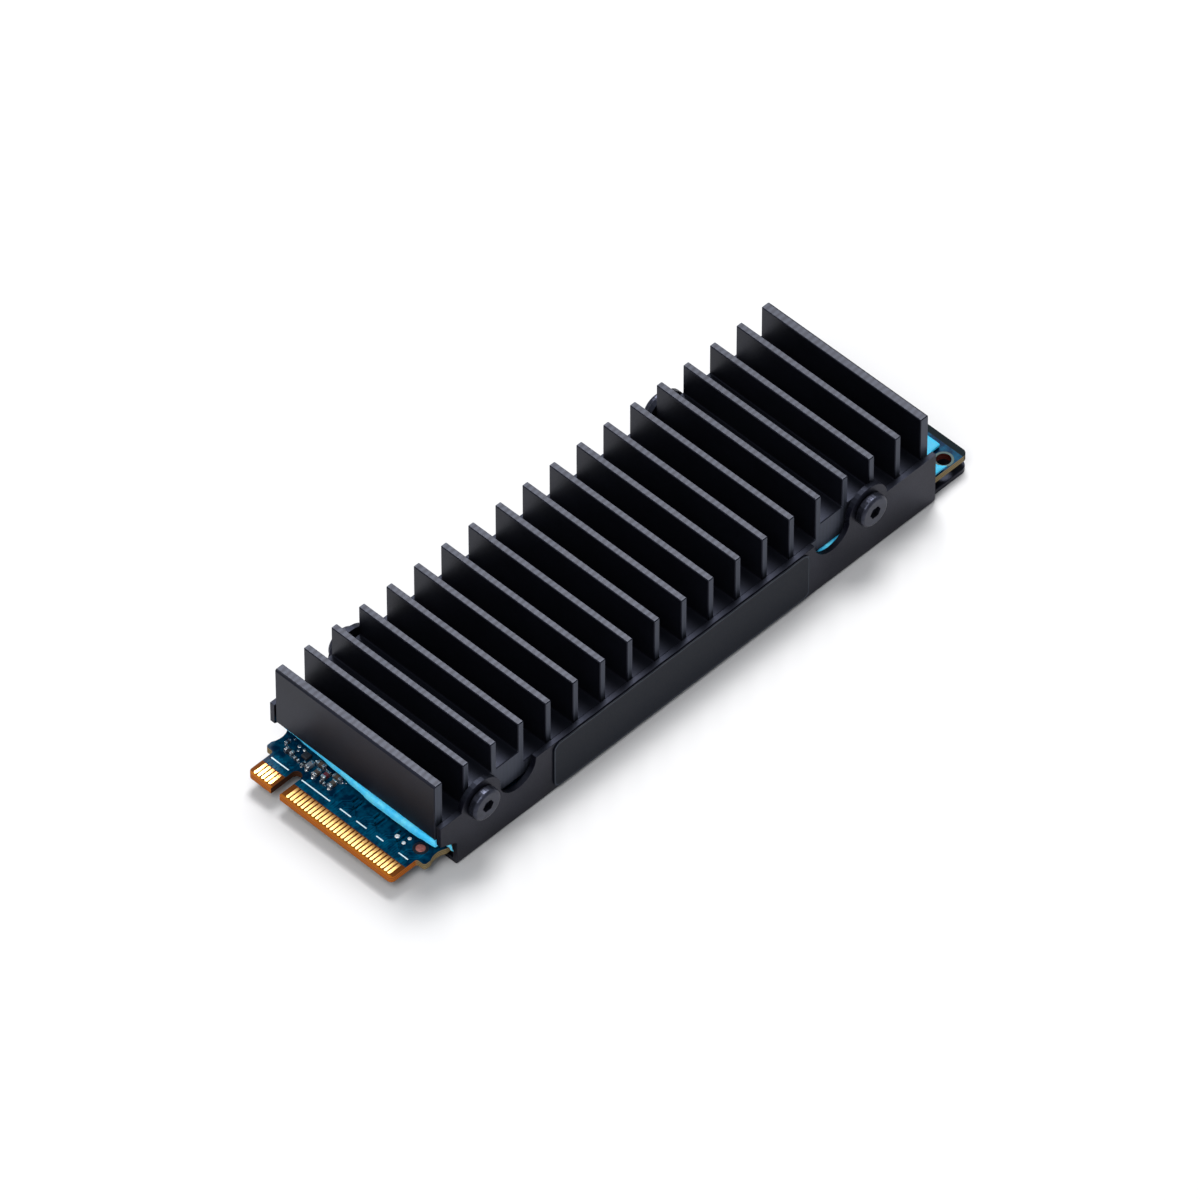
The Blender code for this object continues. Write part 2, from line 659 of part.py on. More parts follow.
def main():
    for item in list(bpy.data.objects):
        bpy.data.objects.remove(item)
    anodised = make_material("anodised_aluminium", (0.055, 0.055, 0.065), 0.42, 0.9)
    folded = make_material("anodised_sheet", (0.035, 0.035, 0.042), 0.5, 0.8)
    board = make_material("solder_mask", (0.003, 0.07, 0.11), 0.4, 0.0)
    silicone = make_material("silicone_pad", (0.10, 0.55, 1.0), 0.55, 0.0)
    moulding = make_material("moulded_package", (0.02, 0.02, 0.022), 0.55, 0.0)
    ceramic = make_material("chip_ceramic", (0.35, 0.28, 0.22), 0.45, 0.0)
    steel = make_material("black_steel", (0.06, 0.06, 0.07), 0.4, 0.9)
    film = make_material("label_film", (0.016, 0.019, 0.027), 0.5, 0.0)
    make_card(board)
    make_main_chips(moulding)
    make_power_parts(moulding)
    make_sensor(moulding)
    make_small_parts(ceramic)
    make_lower_pad(silicone)
    make_upper_pad(silicone)
    make_heatsink(anodised)
    make_tray(folded)
    make_screws(steel)
    make_label(film)


main()
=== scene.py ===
import math

import bmesh
import bpy
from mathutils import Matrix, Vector


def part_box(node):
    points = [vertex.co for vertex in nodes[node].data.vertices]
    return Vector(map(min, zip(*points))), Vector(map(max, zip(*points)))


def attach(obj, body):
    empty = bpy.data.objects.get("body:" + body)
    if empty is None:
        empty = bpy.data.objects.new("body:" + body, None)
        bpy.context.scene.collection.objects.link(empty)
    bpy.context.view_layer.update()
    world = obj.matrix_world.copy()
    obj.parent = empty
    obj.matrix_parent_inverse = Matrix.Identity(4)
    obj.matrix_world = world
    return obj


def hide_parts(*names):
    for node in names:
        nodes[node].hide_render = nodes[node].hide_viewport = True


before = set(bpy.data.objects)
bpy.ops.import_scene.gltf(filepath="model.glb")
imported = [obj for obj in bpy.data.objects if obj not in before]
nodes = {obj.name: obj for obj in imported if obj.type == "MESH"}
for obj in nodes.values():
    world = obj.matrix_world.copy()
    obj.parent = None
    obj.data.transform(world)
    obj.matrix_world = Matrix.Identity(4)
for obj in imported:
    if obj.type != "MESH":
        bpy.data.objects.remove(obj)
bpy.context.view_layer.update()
print("frame loaded:", len(nodes), "nodes")

mm = 0.001
relief = 0.04 * mm  # height of the card's copper above its mask
aligned = 0.9  # how closely a normal or an edge follows an axis to count as along it
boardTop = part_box("pcb")[1].z - relief


# Helpers for materials

def hexColour(text):
    # sRGB hex to linear light
    parts = [int(text[i:i + 2], 16) / 255 for i in (1, 3, 5)]
    linear = [c / 12.92 if c <= 0.04045 else ((c + 0.055) / 1.055) ** 2.4 for c in parts]
    return (*linear, 1.0)


def addNode(tree, kind, settings=None, links=None):
    # Adds a node, sets its options and sockets, and links what feeds it
    node = tree.nodes.new(kind)
    for name, value in (settings or {}).items():
        if isinstance(name, str) and hasattr(node, name):
            setattr(node, name, value)
        else:
            node.inputs[name].default_value = value
    for name, source in (links or {}).items():
        tree.links.new(source, node.inputs[name])
    return node


def newMaterial(name, **sockets):
    # A principled surface, with the values that are the same all over set on its own sockets
    made = bpy.data.materials.new(name)
    made.use_nodes = True
    shader = made.node_tree.nodes["Principled BSDF"]
    for socket, value in sockets.items():
        shader.inputs[socket.replace("_", " ")].default_value = value
    return made, made.node_tree, shader


def objectPoint(tree):
    return addNode(tree, "ShaderNodeTexCoord").outputs["Object"]


def along(tree, axis):
    # Distance along X, Y or Z in metres
    return addNode(tree, "ShaderNodeSeparateXYZ", links={"Vector": objectPoint(tree)}).outputs[axis]


def mixTwo(tree, factor, low, high):
    # Blend of two colours by a factor that a node gives
    node = addNode(tree, "ShaderNodeMix", {"data_type": "RGBA"})
    tree.links.new(factor, node.inputs[0])
    for socket, value in ((node.inputs[6], low), (node.inputs[7], high)):
        if isinstance(value, str):
            socket.default_value = hexColour(value)
        else:
            tree.links.new(value, socket)
    return node.outputs[2]


def spread(tree, value, fromLow, fromHigh, toLow, toHigh):
    node = addNode(tree, "ShaderNodeMapRange", {"From Min": fromLow, "From Max": fromHigh,
                                                "To Min": toLow, "To Max": toHigh}, {"Value": value})
    return node.outputs["Result"]


def noise(tree, sizeMm, detail=3.0, roughness=0.55):
    # Grain whose cells are about sizeMm across
    return addNode(tree, "ShaderNodeTexNoise",
                   {"Scale": 1 / (sizeMm * mm), "Detail": detail, "Roughness": roughness},
                   {"Vector": objectPoint(tree)}).outputs["Fac"]


def bands(tree, direction, scaleMm, distortion, detail):
    # Wavering stripes stacked along X, Y or Z
    return addNode(tree, "ShaderNodeTexWave",
                   {"wave_type": "BANDS", "bands_direction": direction, "Scale": 1 / (scaleMm * mm),
                    "Distortion": distortion, "Detail": detail},
                   {"Vector": objectPoint(tree)}).outputs["Fac"]


def stepAt(tree, place, start, width):
    # 0 before a place and 1 beyond it, with a short blend between
    return spread(tree, place, start, start + width, 0.0, 1.0)


def mottled(tree, pattern, dark, light, low=0.3, high=0.7):
    # Colour that runs from dark to light with a pattern
    return mixTwo(tree, spread(tree, pattern, low, high, 0.0, 1.0), dark, light)


def bump(tree, shader, height, depthMm, strength=1.0):
    node = addNode(tree, "ShaderNodeBump", {"Distance": depthMm * mm, "Strength": strength},
                   {"Height": height})
    tree.links.new(node.outputs["Normal"], shader.inputs["Normal"])


def colourFrom(tree, shader, source):
    tree.links.new(source, shader.inputs["Base Color"])


def roughnessFrom(tree, shader, pattern, start, end, low=0.3, high=0.7):
    # Roughness that runs from start to end with a pattern
    tree.links.new(spread(tree, pattern, low, high, start, end), shader.inputs["Roughness"])


# Materials

anodised = {
    "finColour": "#191B25",
    "finWorn": "#1F212C",
    "milledColour": "#202127",
    "milledWorn": "#292B32",
    # the sawn ends' paler colour is partly painted light for the bright floor they reflect
    "sawnLitColour": "#393D48",
    "sawnLitWorn": "#424652",
    "trayColour": "#171824",
    "trayWorn": "#1D1E2B",
    "grooveShadeColour": "#161923",
    # next two: a darker copy for the groove floors, block tops and the tray's upward faces, painted shade
    "grooveShadeWorn": "#1D1F29",
    "deepRoughness": 0.50,
    "grainMm": 0.12,
    "cloudMm": 6.0,
    "cutterMm": 2.4,             # a real cutter's marks are about 0.05 mm, too fine to show
    "sawMm": 1.6,
    "roughness": 0.40,
    "metallic": 0.85,
}


def blastedAnodisedAluminium(name, dark, light, roughness):
    # Aluminium, blasted and dyed near black: a soft sheen with a fine dry grain; its groove copy is darker,
    # as painted shade
    made, tree, shader = newMaterial(name, Metallic=anodised["metallic"])
    grain = noise(tree, anodised["grainMm"])
    cloud = noise(tree, anodised["cloudMm"], 2.0)
    colourFrom(tree, shader, mottled(tree, cloud, dark, light, 0.35, 0.65))
    roughnessFrom(tree, shader, grain, roughness - 0.05, roughness + 0.05)
    bump(tree, shader, grain, 0.004, 0.5)
    return made


def milledAnodisedAluminium():
    # The fins' tops, milled level before dyeing: paler, a little sparkling, with cutter marks across
    made, tree, shader = newMaterial("milledAnodisedAluminium", Metallic=anodised["metallic"])
    marks = bands(tree, "Y", anodised["cutterMm"], 3.0, 3.0)
    cloud = noise(tree, 2.5, 4.0, 0.7)
    mixed = addNode(tree, "ShaderNodeMath", {"operation": "MULTIPLY"})
    tree.links.new(marks, mixed.inputs[0])
    tree.links.new(spread(tree, cloud, 0.3, 0.7, 0.3, 1.5), mixed.inputs[1])
    dark, light = anodised["milledColour"], anodised["milledWorn"]
    colourFrom(tree, shader, mixTwo(tree, mixed.outputs[0], dark, light))
    roughnessFrom(tree, shader, cloud, 0.36, 0.46)
    bump(tree, shader, marks, 0.004, 0.5)
    return made


def sawnAnodisedAluminium():
    # The extrusion's sawn ends, dyed with the rest, with fine upright saw lines: paler, partly from the cut
    # and partly as painted light for the bright floor they reflect
    made, tree, shader = newMaterial("sawnAnodisedAluminium", Metallic=anodised["metallic"])
    lines = bands(tree, "X", anodised["sawMm"], 2.0, 3.0)
    colourFrom(tree, shader, mixTwo(tree, lines, anodised["sawnLitColour"], anodised["sawnLitWorn"]))
    roughnessFrom(tree, shader, lines, 0.44, 0.52, 0.0, 1.0)
    bump(tree, shader, lines, 0.006, 0.4)
    return made


padLook = {
    "dark": "#38C4FF",
    "light": "#66DAFF",
    "thinned": "#1092B4",
    "thinStart": 33.6 * mm,
    "thinWidth": 1.0 * mm,
    "scatter": 0.25,
    "scatterRadius": (0.2, 0.6, 1.0),
    "scatterReach": 0.6 * mm,
}


def dieCutSilicone():
    # Filled silicone rubber, calendered and die cut: bright and waxy, deeper where it thins out
    made, tree, shader = newMaterial("dieCutSilicone", Roughness=0.6, Specular_IOR_Level=0.4)
    shader.inputs["Subsurface Weight"].default_value = padLook["scatter"]
    shader.inputs["Subsurface Radius"].default_value = padLook["scatterRadius"]
    shader.inputs["Subsurface Scale"].default_value = padLook["scatterReach"]
    grain = noise(tree, 0.25)
    cloud = noise(tree, 1.2, 2.0)
    thick = mottled(tree, cloud, padLook["dark"], padLook["light"], 0.35, 0.65)
    thinned = stepAt(tree, along(tree, "X"), padLook["thinStart"], padLook["thinWidth"])
    colourFrom(tree, shader, mixTwo(tree, thinned, thick, padLook["thinned"]))
    bump(tree, shader, grain, 0.02, 0.5)
    return made


def blackOxideSteel():
    # Carbon steel screw, cold headed and black plated: dark with a greasy shine
    made, tree, shader = newMaterial("blackOxideSteel", Metallic=0.9)
    cloud = noise(tree, 0.5)
    colourFrom(tree, shader, mottled(tree, cloud, "#2B2D37", "#383A46", 0.35, 0.65))
    roughnessFrom(tree, shader, cloud, 0.3, 0.4)
    return made


def polyesterLabel(name, dark, light):
    # Polyester film, printed dark with a thin paler border and left bare: flat, with a faint orange peel
    made, tree, shader = newMaterial(name, Specular_IOR_Level=0.12)
    grain = noise(tree, 0.2)
    colourFrom(tree, shader, mottled(tree, grain, dark, light))
    roughnessFrom(tree, shader, grain, 0.45, 0.55)
    bump(tree, shader, grain, 0.003, 0.4)
    return made


def mouldedEpoxy():
    # Chip moulding compound, transfer moulded and etched: near black with a fine speckle
    made, tree, shader = newMaterial("mouldedEpoxy")
    grain = noise(tree, 0.08)
    colourFrom(tree, shader, mottled(tree, grain, "#1A1A1F", "#2A2A30"))
    roughnessFrom(tree, shader, grain, 0.4, 0.55)
    return made


def firedCeramic(name, dark, light):
    # Chip body of fired ceramic: matt and slightly mottled
    made, tree, shader = newMaterial(name)
    grain = noise(tree, 0.1)
    colourFrom(tree, shader, mottled(tree, grain, dark, light))
    roughnessFrom(tree, shader, grain, 0.35, 0.5)
    return made


def reflowedTin(name, metallic, dark, light, roughness):
    # Tin plating wetted by solder, reflowed: smooth, with soft ripples; the colour runs with the ripples
    # from the dark to the light value, so a white light value paints glints in specks
    made, tree, shader = newMaterial(name, Metallic=metallic)
    ripple = noise(tree, 0.16)
    colourFrom(tree, shader, mottled(tree, ripple, dark, light, 0.42, 0.58))
    roughnessFrom(tree, shader, ripple, roughness, roughness + 0.16)
    bump(tree, shader, ripple, 0.10, 0.9)
    return made


def immersionTin():
    # Tin laid chemically on bare copper: grey and dull, with a faint green cast
    made, tree, shader = newMaterial("immersionTin", Metallic=0.3, Specular_IOR_Level=0.2)
    grain = noise(tree, 0.3)
    colourFrom(tree, shader, mottled(tree, grain, "#2A3A3A", "#3A4A48"))
    roughnessFrom(tree, shader, grain, 0.5, 0.6)
    return made


def bareCopper():
    # Rolled copper left bare and slightly tarnished: pinkish brown
    made, tree, shader = newMaterial("bareCopper", Metallic=0.3)
    grain = noise(tree, 0.25)
    colourFrom(tree, shader, mottled(tree, grain, "#94544C", "#B4716A"))
    roughnessFrom(tree, shader, grain, 0.45, 0.6)
    return made


def screenedInk():
    # White epoxy ink, screened and cured: opaque and cool white, with a slightly ragged surface
    made, tree, shader = newMaterial("screenedInk", Roughness=0.6)
    grain = noise(tree, 0.08)
    colourFrom(tree, shader, mottled(tree, grain, "#D8F4FF", "#E8FAFF"))
    bump(tree, shader, grain, 0.006, 0.5)
    return made


boardLook = {
    "maskDark": "#001E36",
    "maskLight": "#003C56",
    "overCopperDark": "#00324C",
    "overCopperLight": "#004E6C",
    "bareDark": "#7A420C",
    "bareLight": "#9C5C14",
    "between": "#5C300C",
    "betweenStart": -39.8 * mm,  # the laminate is darker between the contacts
    "margin": "#081216",
    "tongueEdge": "#B8641A",
    "tongueEdgeDark": "#7E4210",
    "slotEdge": "#4A2A16",
    "slotEdgeDark": "#2A140A",
    "holeEdge": "#5A1C12",
    "holeEdgeDark": "#34100A",
    "sideEdge": "#8A7854",
    "sideEdgeDark": "#5C5038",
    # the corner edge colour is painted shade on the side faces at the mounting end's corner
    "shadedCornerEdge": "#0E1010",
    "gold": "#F0B458",
    "goldLight": "#FFE09A",
    "goldUnderMask": "#9A6238",
    "stainStart": -38.9 * mm,
    "stainWidth": 0.85 * mm,
    "bareEnd": -38.05 * mm,      # the mask starts where the contacts end
    "marginStart": 39.2 * mm,    # the mask stops short of the mounting end
    "edgeChange": -36.5 * mm,
    "shadedCornerStart": 39.3 * mm,
    "blend": 0.06 * mm,
    "edgeBlend": 0.3 * mm,
    "weaveMm": 0.8,
}


def solderMask(name, dark, light):
    # Epoxy solder mask, screened and cured: glossy teal, open at the contacts and along the mounting end
    made, tree, shader = newMaterial(name, Specular_IOR_Level=0.04)
    cloud = noise(tree, 0.9, 2.0)
    mask = mottled(tree, cloud, dark, light, 0.38, 0.62)
    place = along(tree, "X")
    blend = boardLook["blend"]
    between = stepAt(tree, place, boardLook["betweenStart"], blend)
    bare = mixTwo(tree, between, mixTwo(tree, cloud, boardLook["bareDark"], boardLook["bareLight"]),
                  boardLook["between"])
    covered = stepAt(tree, place, boardLook["bareEnd"], blend)
    opened = stepAt(tree, place, boardLook["marginStart"], blend)
    colourFrom(tree, shader, mixTwo(tree, opened, mixTwo(tree, covered, bare, mask), boardLook["margin"]))
    shine = addNode(tree, "ShaderNodeMath", {"operation": "SUBTRACT"})
    tree.links.new(covered, shine.inputs[0])
    tree.links.new(opened, shine.inputs[1])
    roughnessFrom(tree, shader, shine.outputs[0], 0.6, 0.22, 0.0, 1.0)
    bump(tree, shader, cloud, 0.004, 0.3)
    return made


def routedGlassEpoxy(name, tongueColours, sideColours):
    # Glass-epoxy laminate, routed edge: orange on the bevelled tongue, tan elsewhere, with layers of cloth,
    # and near black round the mounting end's corner as painted shade
    made, tree, shader = newMaterial(name, Roughness=0.7, Specular_IOR_Level=0.12)
    weave = bands(tree, "Z", boardLook["weaveMm"], 1.5, 2.0)
    tongue = mixTwo(tree, weave, *[boardLook[key] for key in tongueColours])
    side = mixTwo(tree, weave, *[boardLook[key] for key in sideColours])
    place = along(tree, "X")
    turn = stepAt(tree, place, boardLook["edgeChange"] - boardLook["edgeBlend"], boardLook["edgeBlend"])
    # painted shade: the edge goes near black beyond this point at the mounting end
    corner = stepAt(tree, place, boardLook["shadedCornerStart"], boardLook["edgeBlend"])
    edge = mixTwo(tree, turn, tongue, side)
    colourFrom(tree, shader, mixTwo(tree, corner, edge, boardLook["shadedCornerEdge"]))
    bump(tree, shader, weave, 0.02, 0.5)
    return made


def hardGold():
    # Hard gold over nickel, electroplated: warm and bright, stained brown where it runs in under the mask
    made, tree, shader = newMaterial("hardGold", Metallic=1.0)
    grain = noise(tree, 0.12)
    gold = mottled(tree, grain, boardLook["gold"], boardLook["goldLight"])
    stained = stepAt(tree, along(tree, "X"), boardLook["stainStart"], boardLook["stainWidth"])
    colourFrom(tree, shader, mixTwo(tree, stained, gold, boardLook["goldUnderMask"]))
    roughnessFrom(tree, shader, grain, 0.28, 0.4)
    return made


finFinish = blastedAnodisedAluminium("extrudedAnodisedAluminium", anodised["finColour"],
                                     anodised["finWorn"], anodised["roughness"])
milledFinish = milledAnodisedAluminium()
sawnAndLitFinish = sawnAnodisedAluminium()
trayFinish = blastedAnodisedAluminium("foldedAnodisedAluminium", anodised["trayColour"],
                                      anodised["trayWorn"], anodised["roughness"])
# darker copy for upward faces in the grooves and on the tray: painted shade
grooveShadeFinish = blastedAnodisedAluminium("shadedGrooveAnodisedAluminium", anodised["grooveShadeColour"],
                                      anodised["grooveShadeWorn"], anodised["deepRoughness"])
padFinish = dieCutSilicone()
screwFinish = blackOxideSteel()
labelFinish = polyesterLabel("polyesterLabel", "#0F131C", "#151923")
borderFinish = polyesterLabel("printedBorder", "#30363F", "#3C424C")
packageFinish = mouldedEpoxy()
tanCeramic = firedCeramic("bariumTitanate", "#3E342E", "#564840")
greyCeramic = firedCeramic("greyCeramic", "#5A5C62", "#787A80")
darkCeramic = firedCeramic("darkAlumina", "#101219", "#1C1F28")
redCeramic = firedCeramic("redFerrite", "#4A181E", "#68242A")
# tin: the white specks are painted glints, and the grey dark value, darker than tin, is painted reflection
# of the dark heatsink nearby
tinWithPaintedGlints = reflowedTin("reflowedTin", 0.9, "#7A7E86", "#FFFFFF", 0.12)
solderFinish = reflowedTin("levelledSolder", 0.35, "#F2F4F6", "#FFFFFF", 0.16)
dullTinFinish = immersionTin()
copperFinish = bareCopper()
inkFinish = screenedInk()
maskFinish = solderMask("solderMask", boardLook["maskDark"], boardLook["maskLight"])
coveredFinish = solderMask("maskOverCopper", boardLook["overCopperDark"], boardLook["overCopperLight"])
edgeFinish = routedGlassEpoxy("routedGlassEpoxy", ("tongueEdgeDark", "tongueEdge"),
                              ("sideEdgeDark", "sideEdge"))
slotFinish = routedGlassEpoxy("routedSlot", ("slotEdgeDark", "slotEdge"), ("slotEdgeDark", "slotEdge"))
holeFinish = routedGlassEpoxy("drilledHole", ("holeEdgeDark", "holeEdge"), ("holeEdgeDark", "holeEdge"))
goldFinish = hardGold()
print("materials made")


# Helpers for modelling

def startBlock(name, low, high):
    # A box between two corners, with its place in its mesh
    low = Vector(low)
    high = Vector(high)
    bpy.ops.object.select_all(action="DESELECT")
    bpy.ops.mesh.primitive_cube_add(size=1, location=(low + high) / 2, scale=high - low)
    return settle(name)


def startDisc(name, centre, radius, height, sides=20):
    # A round plate that stands on its centre point
    place = Vector(centre) + Vector((0, 0, height / 2))
    bpy.ops.object.select_all(action="DESELECT")
    bpy.ops.mesh.primitive_cylinder_add(vertices=sides, radius=radius, depth=height, location=place)
    return settle(name)


def startBall(name, centre, radii):
    # An egg shape round its centre point
    bpy.ops.object.select_all(action="DESELECT")
    bpy.ops.mesh.primitive_uv_sphere_add(segments=24, ring_count=14, radius=1,
                                         location=centre, scale=radii)
    return settle(name)


def settle(name):
    # Puts the new object's place and size into its mesh
    bpy.ops.object.transform_apply(location=True, rotation=True, scale=True)
    made = bpy.context.object
    made.name = name
    return made


def pickFaces(piece, test):
    # Selects faces in edit mode by centre and normal
    bpy.ops.mesh.select_mode(type="FACE")
    bpy.ops.mesh.select_all(action="DESELECT")
    mesh = bmesh.from_edit_mesh(piece.data)
    for face in mesh.faces:
        face.select_set(bool(test(face.calc_center_median(), face.normal)))
    bmesh.update_edit_mesh(piece.data)


def pickEdges(piece, test):
    # Selects edges in edit mode by middle point and direction
    bpy.ops.mesh.select_mode(type="EDGE")
    bpy.ops.mesh.select_all(action="DESELECT")
    mesh = bmesh.from_edit_mesh(piece.data)
    for edge in mesh.edges:
        start, end = (vert.co for vert in edge.verts)
        edge.select_set(bool(test((start + end) / 2, (end - start).normalized())))
    bmesh.update_edit_mesh(piece.data)


def roundEdges(piece, width, segments=2):
    # Bevels the sharp edges all over
    made = piece.modifiers.new("roundEdges", "BEVEL")
    made.width = width
    made.segments = segments
    made.limit_method = "ANGLE"
    bpy.context.view_layer.objects.active = piece
    bpy.ops.object.modifier_apply(modifier=made.name)


def joinPieces(name, parts):
    bpy.ops.object.select_all(action="DESELECT")
    for part in parts:
        part.select_set(True)
    bpy.context.view_layer.objects.active = parts[0]
    if len(parts) > 1:
        bpy.ops.object.join()
    made = bpy.context.object
    made.name = name
    return made


def paintSlots(piece, *materials):
    # Gives a piece its materials, slot by slot
    piece.data.materials.clear()
    for material in materials:
        piece.data.materials.append(material)


def paintWhere(piece, index, test):
    # Moves the faces that pass a test to another slot
    for face in piece.data.polygons:
        if test(face.center, face.normal):
            face.material_index = index


sharpEdge = math.radians(35)


def finishPiece(piece, slot, *replaced):
    # Smooth shading between sharp edges, and the piece's place in the frame
    bpy.ops.object.select_all(action="DESELECT")
    piece.select_set(True)
    bpy.context.view_layer.objects.active = piece
    bpy.ops.object.shade_smooth_by_angle(angle=sharpEdge)
    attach(piece, "root")
    if replaced:
        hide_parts(*replaced)


# Card: the CAD node stays, with its faces shared out between mask, bare edge, gold and dull tin

keySlot = {"row": 6.125 * mm, "half": 0.62 * mm, "mouth": -39.9 * mm}
cornerHole = {"centre": (37.6 * mm, -9.9 * mm), "radius": 0.85 * mm}


def paintCard():
    card = nodes["pcb"]
    paintSlots(card, maskFinish, edgeFinish, goldFinish, dullTinFinish, slotFinish, holeFinish)
    low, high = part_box("pcb")
    skin = relief / 20
    for face in card.data.polygons:
        centre = face.center
        pastSlot = centre.x > boardLook["edgeChange"] or centre.x < keySlot["mouth"]
        upright = abs(face.normal.z) < 0.5
        byHole = math.dist((centre.x, centre.y), cornerHole["centre"]) < cornerHole["radius"]
        if centre.z > high.z - relief + skin or centre.z < low.z + relief - skin:
            face.material_index = 2 if centre.x < 0 else 3
        elif upright and byHole:
            face.material_index = 5
        elif upright:
            face.material_index = 1 if pastSlot or abs(centre.y - keySlot["row"]) > keySlot["half"] else 4


# Heatsink, tray, screws and chips: the CAD nodes stay, each face with the finish of how it was made; upward
# faces low in the heatsink and on the tray get a darker copy as painted shade

def paintMetal():
    heatsink = nodes["heatsink"]
    tray = nodes["bottom_tray"]
    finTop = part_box("heatsink")[1].z - 0.02 * mm
    grooveTop = finTop - 1 * mm  # the groove floors and the raised blocks lie well below this
    paintSlots(heatsink, finFinish, sawnAndLitFinish, milledFinish, grooveShadeFinish)
    # end faces: paler, partly painted light
    paintWhere(heatsink, 1, lambda centre, normal: abs(normal.y) > aligned)
    # groove floors and raised block tops get the darker copy: painted shade
    paintWhere(heatsink, 3, lambda centre, normal: normal.z > 0.5 and centre.z < grooveTop)
    paintWhere(heatsink, 2, lambda centre, normal: normal.z > aligned and centre.z > finTop)
    paintSlots(tray, trayFinish, grooveShadeFinish)
    # the tray's upward faces, wall tops and floor, get the darker copy: painted shade
    paintWhere(tray, 1, lambda centre, normal: normal.z > 0.5)


paintCard()
paintMetal()
for name in nodes:
    if name.startswith("screw_"):
        paintSlots(nodes[name], screwFinish)
    elif name.endswith("_chip") or name.startswith(("nand_", "inductor_", "crystal")):
        paintSlots(nodes[name], packageFinish)
print("nodes painted")


# Copper traces under the mask, fanned out from the contacts

traceLook = {
    "start": -38.12 * mm,
    "wide": 0.3 * mm,
    "neck": -37.62 * mm,
    "narrow": 0.17 * mm,
    "taper": 0.12 * mm,          # length over which a trace narrows
    "rise": 0.010 * mm,
    "bendStep": 0.16 * mm,
    "bendStart": -36.9 * mm,
    "drift": 0.62 * mm,
    "end": -34.9 * mm,
    "shortEnd": -36.75 * mm,
    "partsFrom": 1.2 * mm,       # the small parts stand beyond this
    "viaRadius": 0.14 * mm,
    "viaRise": 0.014 * mm,
    "viaSides": 12,
}


def contactRows():
    # Middle of each top contact, read from the card's copper
    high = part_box("pcb")[1].z
    edges = {round(vert.co.y, 6) for vert in nodes["pcb"].data.vertices
             if vert.co.z > high - relief / 4 and vert.co.x < boardLook["bareEnd"] - 0.1 * mm}
    edges = sorted(edges)
    return [(first + second) / 2 for first, second in zip(edges[::2], edges[1::2])]


def extendTrace(step, width=None):
    # Pulls the free end of the strip onwards, and narrows it if asked
    bpy.ops.mesh.extrude_region_move(TRANSFORM_OT_translate={"value": step})
    if width:
        bpy.ops.transform.resize(value=(1, width, 1))


def layTrace(index, row):
    # One trace from its contact: straight to a via, or round a bend and on under the heatsink
    look = traceLook
    low = Vector((look["start"], row - look["wide"] / 2, boardTop))
    high = Vector((look["neck"], row + look["wide"] / 2, boardTop))
    bpy.ops.object.select_all(action="DESELECT")
    bpy.ops.mesh.primitive_plane_add(size=1, location=(low + high) / 2)
    strip = bpy.context.object
    strip.scale = (high.x - low.x, high.y - low.y, 1)
    strip = settle(f"trace{index}")
    bpy.ops.object.mode_set(mode="EDIT")
    pickEdges(strip, lambda middle, run: middle.x > look["neck"] - 0.01 * mm)
    extendTrace((look["taper"], 0, 0), look["narrow"] / look["wide"])
    short = index % 3 == 2 or row > look["partsFrom"]
    if short:
        extendTrace((look["shortEnd"] - look["neck"] - (index % 2) * look["bendStep"], 0, 0))
    else:
        bend = look["bendStart"] + (index % 6) * look["bendStep"]
        drift = look["drift"] * (1 if (index // 6) % 2 else -1)
        extendTrace((bend - look["neck"] - look["taper"], 0, 0))
        extendTrace((abs(drift), drift, 0))
        extendTrace((look["end"] - bend - abs(drift), 0, 0))
    bpy.ops.mesh.select_all(action="SELECT")
    bpy.ops.mesh.extrude_region_move(TRANSFORM_OT_translate={"value": (0, 0, look["rise"])})
    bpy.ops.mesh.select_all(action="SELECT")
    bpy.ops.mesh.normals_make_consistent(inside=False)
    bpy.ops.object.mode_set(mode="OBJECT")
    parts = [strip]
    if short:
        centre = (max(vert.co.x for vert in strip.data.vertices), row, boardTop)
        parts.append(startDisc(f"via{index}", centre, look["viaRadius"], look["viaRise"], look["viaSides"]))
    return parts


def makeTraces():
    parts = []
    for index, row in enumerate(contactRows()):
        parts += layTrace(index, row)
    traces = joinPieces("coveredTraces", parts)
    paintSlots(traces, coveredFinish)
    finishPiece(traces, "board")


makeTraces()
print("traces laid")


# White marks screened on the mask

silkscreen = {
    "row": -37.15 * mm,
    "width": 0.14 * mm,
    "corner": 0.049 * mm,
    "thick": 0.025 * mm,
    "runs": ((9.56, 7.13), (5.34, 1.40), (0.03, -1.50), (-2.24, -3.64), (-4.99, -5.98), (-8.08, -9.37)),
    "tickRow": -34.4 * mm,
    "tick": (6.17, 5.37),
}


def makeMarks():
    marks = []
    rows = [(silkscreen["row"], run) for run in silkscreen["runs"]]
    rows.append((silkscreen["tickRow"], silkscreen["tick"]))
    half = silkscreen["width"] / 2
    for row, (far, near) in rows:
        mark = startBlock("mark", (row - half, near * mm, boardTop),
                          (row + half, far * mm, boardTop + silkscreen["thick"]))
        bpy.ops.object.mode_set(mode="EDIT")
        pickEdges(mark, lambda middle, run: abs(run.z) > aligned)
        bpy.ops.mesh.bevel(offset=silkscreen["corner"], segments=3)
        bpy.ops.object.mode_set(mode="OBJECT")
        marks.append(mark)
    made = joinPieces("screenedMarks", marks)
    paintSlots(made, inkFinish)
    finishPiece(made, "board")


makeMarks()


# Solder bumps on bare test pads, and the bare copper target beside them

